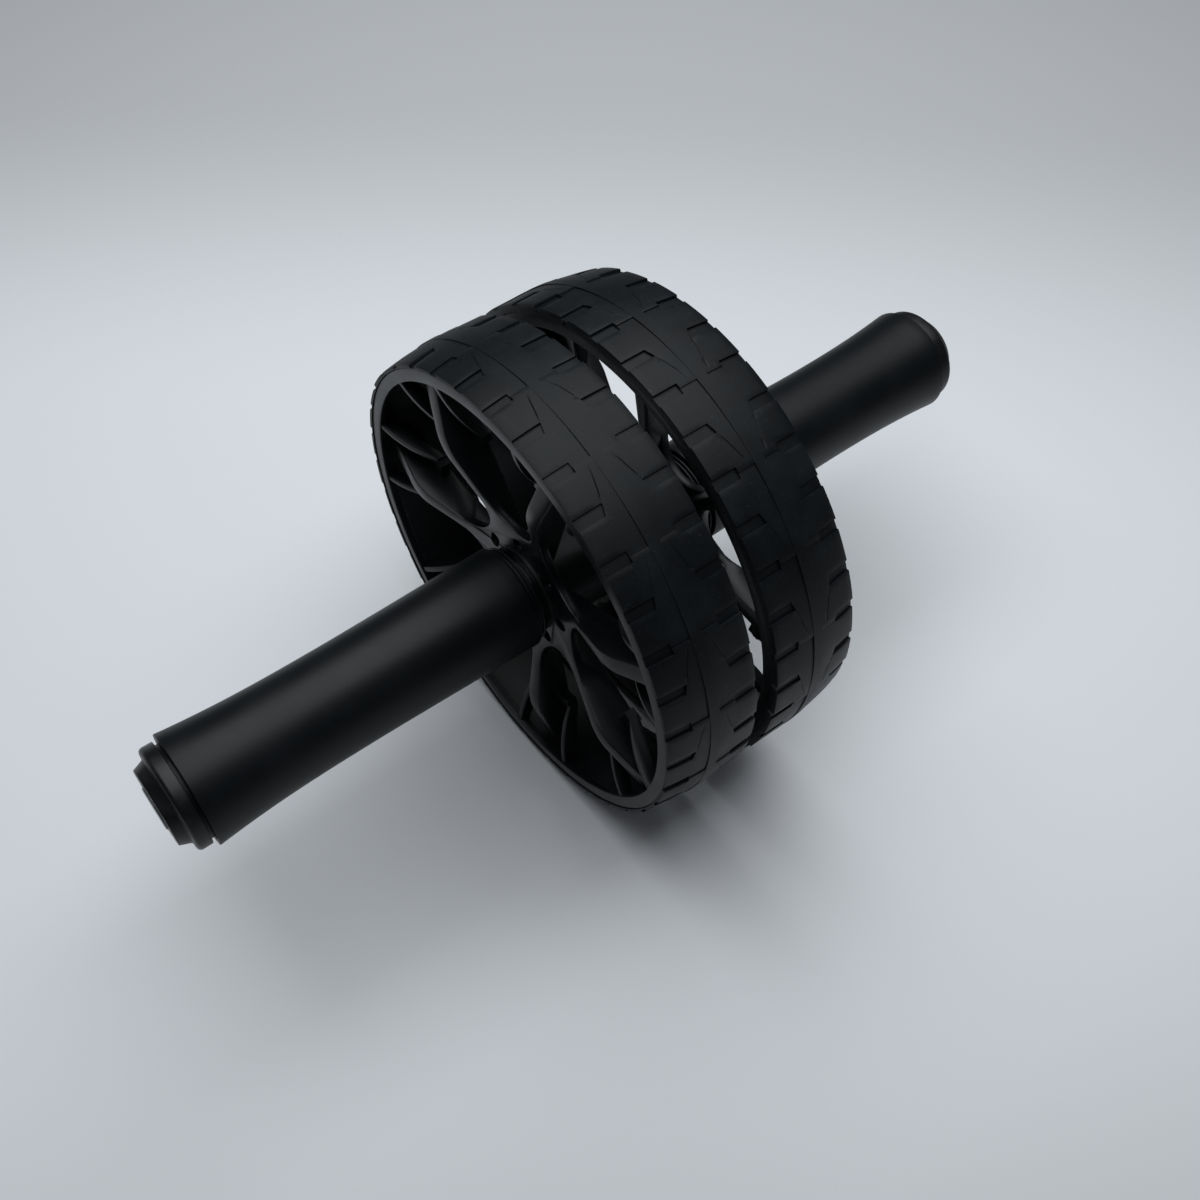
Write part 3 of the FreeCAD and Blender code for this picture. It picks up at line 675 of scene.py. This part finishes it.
def cut_away(bm, tool):
    """Join the overlapping parts of one piece into a single skin and cut a tool out of it."""
    things = []
    for name, shape in (("blank", bm), ("tool", tool)):
        mesh = bpy.data.meshes.new(name)
        shape.to_mesh(mesh)
        shape.free()
        things.append(new_object(name, mesh))
    cut = things[0].modifiers.new("cut", "BOOLEAN")
    cut.operation, cut.solver, cut.use_self, cut.object = "DIFFERENCE", "EXACT", True, things[1]
    result = bmesh.new()
    result.from_object(things[0], bpy.context.evaluated_depsgraph_get())
    for thing in things:
        bpy.data.meshes.remove(thing.data)
    return result


print("rim", round(RIM_END - TYRE_START - RIM_INSET, 1), "mm wide")

# %% [markdown]
# The two wheels are one moulding as well. Each stands at the angle that the picture shows.

# %% Build the wheels
WHEEL_PHASE = {"left": 22.5, "right": 30.0}
blank = bmesh.new()
for part in (rim(), hub(), hub_web()):
    join(blank, part)
for spoke in range(SPOKES):
    add_spoke(blank, spoke * PITCH)
moulding = cut_away(blank, hole_tool())
for side in SIDES:
    stand(moulding.copy(), f"{side}_wheel", "wheel_plastic", f"{side}_wheel_set", WHEEL_PHASE[side])

# %% [markdown]
# ## The grips
# A grip is a moulded sleeve pushed onto the tube. It is widest at its ends, with a slim waist for the fingers,
# and a short collar of two ridges fills the step between its inner end and the wheel. The curve of the sleeve
# comes from two smooth powers, one for each end, because straight tapers would show a kink at the waist.

# %% Build the grips
TUBE_RADIUS = 10.03
WAIST, INNER, OUTER = 16.1, 17.1, 18.05
TAPER_LENGTH, TAPER_POWER = 60.0, 1.2
FLARE_LENGTH, FLARE_POWER = 45.0, 2.4
RIDGES, RIDGE_PITCH, RIDGE_RADIUS, GROOVE_RADIUS = 2, 1.35, 16.0, 15.2
RIDGE_TOP, GROOVE_START, GROOVE_END = 0.75, 0.85, 1.3
GRIP_STEPS, GRIP_ROUNDING, GRIP_SMOOTH = 26, 0.25, 50


def grip_radius(x, end):
    """Radius of a grip that ends at the given place."""
    taper = max(0.0, 1 - (x - GRIP_START) / TAPER_LENGTH)
    flare = max(0.0, 1 - (end - x) / FLARE_LENGTH)
    return WAIST + (INNER - WAIST) * taper ** TAPER_POWER + (OUTER - WAIST) * flare ** FLARE_POWER


def grip_outline(end):
    """Half section of a grip: the collar's ridges, then the sleeve."""
    points = [(GRIP_START, TUBE_RADIUS)]
    for ridge in range(RIDGES):
        at = GRIP_START + ridge * RIDGE_PITCH
        points += [(at, RIDGE_RADIUS), (at + RIDGE_TOP, RIDGE_RADIUS), (at + GROOVE_START, GROOVE_RADIUS),
                   (at + GROOVE_END, GROOVE_RADIUS)]
    start = GRIP_START + RIDGES * RIDGE_PITCH
    for step in range(GRIP_STEPS + 1):
        x = start + (end - start) * step / GRIP_STEPS
        points.append((x, grip_radius(x, end)))
    return points + [(end, TUBE_RADIUS)]


for side in SIDES:
    stand(turned(grip_outline(GRIP_ENDS[side]), GRIP_ROUNDING), f"{side}_grip", "grip_rubber", "handlebar",
          smooth=GRIP_SMOOTH)

# %% [markdown]
# ## The end caps
# A cap closes each end: a shank inside the tube, a short neck, a round-edged flange for the hand to stop
# against and a cone-shaped nose. A thin cover hides the screw. Both are turned pieces, drawn from the grip's
# outer end, so that they follow whichever grip they close. The flange's edge is a true quarter round, because
# the light draws a line along it.

# %% Draw the caps and covers
CAP_NECK, CAP_FLANGE, CAP_SEAT, CAP_SHANK = 1.2, 5.7, CAP_LENGTH - 6.2, -16.0
FLANGE_RADIUS, EDGE_RADIUS, EDGE_STEPS = 16.5, 1.4, 6
SCREW_HOLE, HEAD_HOLE, SHANK_RADIUS, NECK_RADIUS = 3.1, 6.0, 7.97, 15.2
NOSE_TIP, NOSE_FOOT, FILLET_RADIUS, FILLET_LENGTH = 12.1, 13.4, 13.9, 0.3
STEM_START, STEM_RADIUS = COVER_LENGTH - 3.0, 4.4
COVER_CHAMFER, COVER_CHAMFER_LENGTH = 0.3, 0.25
flange_edge = [(CAP_FLANGE - EDGE_RADIUS * (1 - math.sin(turn)), FLANGE_RADIUS - EDGE_RADIUS * (1 - math.cos(turn)))
               for turn in (math.pi / 2 * step / EDGE_STEPS for step in range(EDGE_STEPS, -1, -1))]
cap_outline = [
    (CAP_SHANK, SCREW_HOLE), (CAP_SEAT, SCREW_HOLE), (CAP_SEAT, HEAD_HOLE), (CAP_LENGTH, HEAD_HOLE),
    (CAP_LENGTH, NOSE_TIP), (CAP_FLANGE + FILLET_LENGTH, NOSE_FOOT), (CAP_FLANGE, FILLET_RADIUS), *flange_edge,
    (CAP_NECK, FLANGE_RADIUS), (CAP_NECK, NECK_RADIUS), (0, NECK_RADIUS), (0, SHANK_RADIUS),
    (CAP_SHANK, SHANK_RADIUS)]
cover_outline = [
    (STEM_START, STEM_RADIUS), (CAP_LENGTH, STEM_RADIUS), (CAP_LENGTH, COVER_RADIUS),
    (COVER_LENGTH - COVER_CHAMFER_LENGTH, COVER_RADIUS), (COVER_LENGTH, COVER_RADIUS - COVER_CHAMFER),
    (COVER_LENGTH, 0), (STEM_START, 0)]
print("cap", round(CAP_LENGTH, 1), "mm long, flange", 2 * FLANGE_RADIUS, "mm across")

# %% Build the end caps and covers
TURNED_ENDS = ((cap_outline, 0.35, "end_cap", "cap_plastic"),
               (cover_outline, 0.1, "screw_cover", "cover_plastic"))
for side in SIDES:
    for outline, rounding, name, material in TURNED_ENDS:
        placed = [(GRIP_ENDS[side] + x, radius) for x, radius in outline]
        stand(turned(placed, rounding), f"{side}_{name}", material, "handlebar")

# %% [markdown]
# ## The pieces left as they are
# The tube, bushes, washers, rings, inserts, screws and the spacer are plain turned metal and plastic, and
# they sit deep inside. Their engineering shapes are already right, so they only get a finish.

# %% Finish the engineering pieces
finished = 0
for item in bpy.data.objects:
    if item.type == "MESH":
        for holder in item.material_slots:
            if holder.material and holder.material.name in MATERIALS:
                holder.material = MATERIALS[holder.material.name]
                finished += 1
print("finished", finished, "engineering surfaces")

# %% [markdown]
# ## The floor and the light
# The roller stands on plain pale paper. In the picture the light on the paper is brightest in a wide band across
# the view and dims gently in front of it and behind it. A light alone would make a round pool, so the band of light
# is painted into the paper as painted light and painted shade: the place on the floor is turned to the view,
# squeezed sideways, and its distance from the centre of the painted light mixes a painted lit grey and a painted
# dim grey.

# %% Lay the floor
FLOOR_SIZE, PAPER_ROUGHNESS = 30.0, 0.9
# painted light on the floor: the centre, spread and reach of the painted pool of light, and its lit and dim greys
PAINTED_LIGHT_SPOT, PAINTED_LIGHT_SPREAD = (-0.118, 0.121, 0.0), (3.17, 1.0, 1.0)
PAINTED_LIGHT_REACH, PAINTED_DIM_REACH = 0.118, 0.358
PAINTED_LIT_PAPER, PAINTED_DIM_PAPER = "dcdfe2", "babcbe"
across = math.atan2(RIGHT_AXIS.y, RIGHT_AXIS.x)
sheet = bmesh.new()
bmesh.ops.create_grid(sheet, x_segments=1, y_segments=1, size=FLOOR_SIZE)
mesh = bpy.data.meshes.new("floor")
sheet.to_mesh(mesh)
sheet.free()
floor = new_object("floor", mesh)
# matt uncoated backdrop paper with no shine: a soft grey, painted lighter in a band as painted light and darker
# away from it as painted shade
floor_paper_painted_light = bpy.data.materials.new("backdrop_paper_painted_light")
floor_paper_painted_light.use_nodes = True
tree = floor_paper_painted_light.node_tree
place = add(tree, "ShaderNodeTexCoord").outputs["Object"]
band = add(tree, "ShaderNodeMapping", {"vector_type": "TEXTURE", "Location": PAINTED_LIGHT_SPOT,
                                       "Rotation": (0.0, 0.0, across), "Scale": PAINTED_LIGHT_SPREAD}, Vector=place)
away = add(tree, "ShaderNodeVectorMath", {"operation": "LENGTH"}, Vector=band.outputs["Vector"])
fall = add(tree, "ShaderNodeMapRange", {"From Min": PAINTED_LIGHT_REACH, "From Max": PAINTED_DIM_REACH,
                                        "interpolation_type": "SMOOTHSTEP"}, Value=away.outputs["Value"])
# painted light and shade: the lit grey near the painted light's centre, fading to the dim grey away from it
paper = add(tree, "ShaderNodeMix", {"data_type": "RGBA"}, Factor=fall.outputs["Result"])
paper.inputs[MIX_FIRST].default_value = colour(PAINTED_LIT_PAPER)
paper.inputs[MIX_SECOND].default_value = colour(PAINTED_DIM_PAPER)
tree.links.new(paper.outputs[MIX_RESULT], tree.nodes["Principled BSDF"].inputs["Base Color"])
tree.nodes["Principled BSDF"].inputs["Roughness"].default_value = PAPER_ROUGHNESS
mesh.materials.append(floor_paper_painted_light)
print("floor", 2 * FLOOR_SIZE, "m across")

# %% [markdown]
# One broad soft light hangs overhead, as a studio softbox does. The shadows in the picture are soft at the
# edges and dark under the wheels, so there is no second light. The surroundings only give a faint cool fill,
# which is why the lower side of each grip goes dark.

# %% Hang the light
SOFTBOX_SIZE, SOFTBOX_POWER = 0.9, 8.2
SOFTBOX_COLOUR, SOFTBOX_PLACE = (0.95, 0.975, 1.0), (0.12, 0.15, 0.80)
ROOM_COLOUR, ROOM_STRENGTH = "c8ccd4", 0.14
softbox = new_object("softbox", bpy.data.lights.new("softbox", "AREA"))
softbox.data.shape = "SQUARE"
softbox.data.size = SOFTBOX_SIZE
softbox.data.energy = SOFTBOX_POWER
softbox.data.color = SOFTBOX_COLOUR
softbox.location = SOFTBOX_PLACE

world = bpy.data.worlds.new("room")
bpy.context.scene.world = world
world.use_nodes = True
room = world.node_tree.nodes["Background"]
room.inputs["Color"].default_value = colour(ROOM_COLOUR)
room.inputs["Strength"].default_value = ROOM_STRENGTH
bpy.context.scene.view_settings.view_transform = "Standard"
print("softbox", SOFTBOX_POWER, "W at", SOFTBOX_PLACE)
